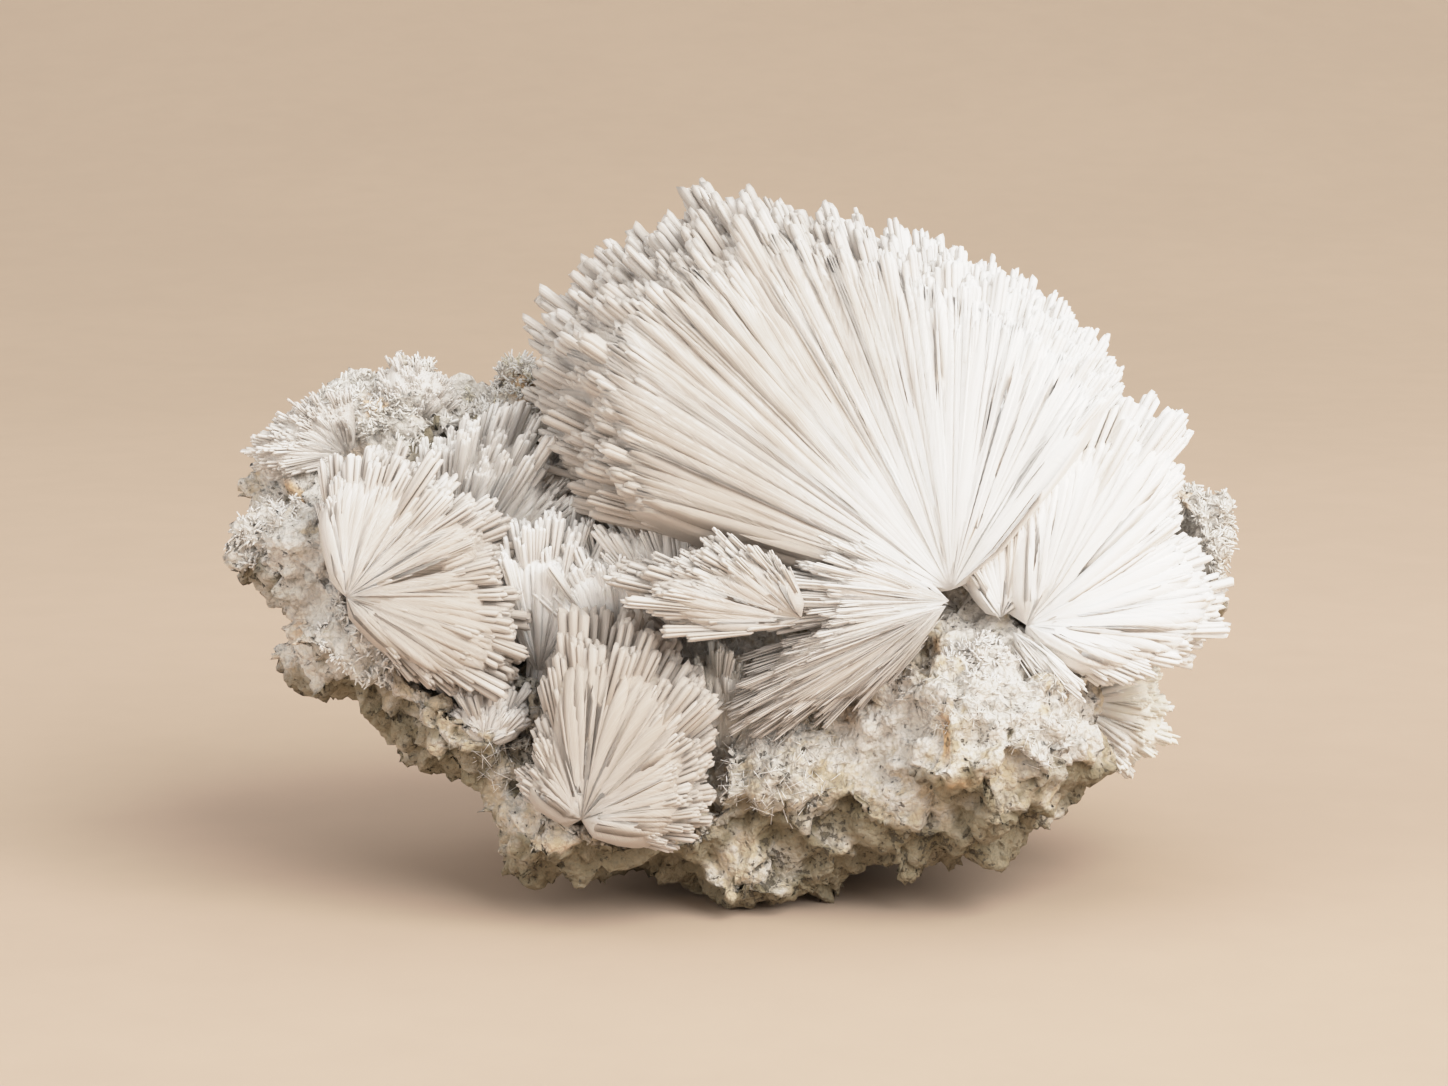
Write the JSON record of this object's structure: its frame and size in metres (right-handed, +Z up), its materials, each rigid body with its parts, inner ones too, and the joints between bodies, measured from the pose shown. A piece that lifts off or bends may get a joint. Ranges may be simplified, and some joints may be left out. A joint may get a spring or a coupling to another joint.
{
  "type": "xonotlite specimen",
  "caption": "Mineral specimen: fans of white, striated blade crystals spreading from points on a rough, pale matrix rock, resting on its underside.",
  "frame": {"origin": "on the surface that the specimen rests on, under the middle of its box", "axes": "+X to the viewer's right in the picture, +Y away from the viewer, +Z up"},
  "size_m": [0.1206, 0.0662, 0.0846],
  "materials": {
    "rock": "rough, pitted, whitish grey rock with dark specks and ochre stains",
    "crystal": "white, silky, finely striated, slightly translucent blades"
  },
  "bodies": {
    "root": {"matrix_rock": "rock", "main_fan": "crystal", "right_fan": "crystal", "left_fan": "crystal", "left_rear_fan": "crystal", "lower_fan": "crystal", "middle_fan": "crystal", "inner_fan": "crystal", "sweep_fan": "crystal", "rear_fan": "crystal", "valley_fan": "crystal", "small_fan": "crystal"}
  },
  "joints": []
}
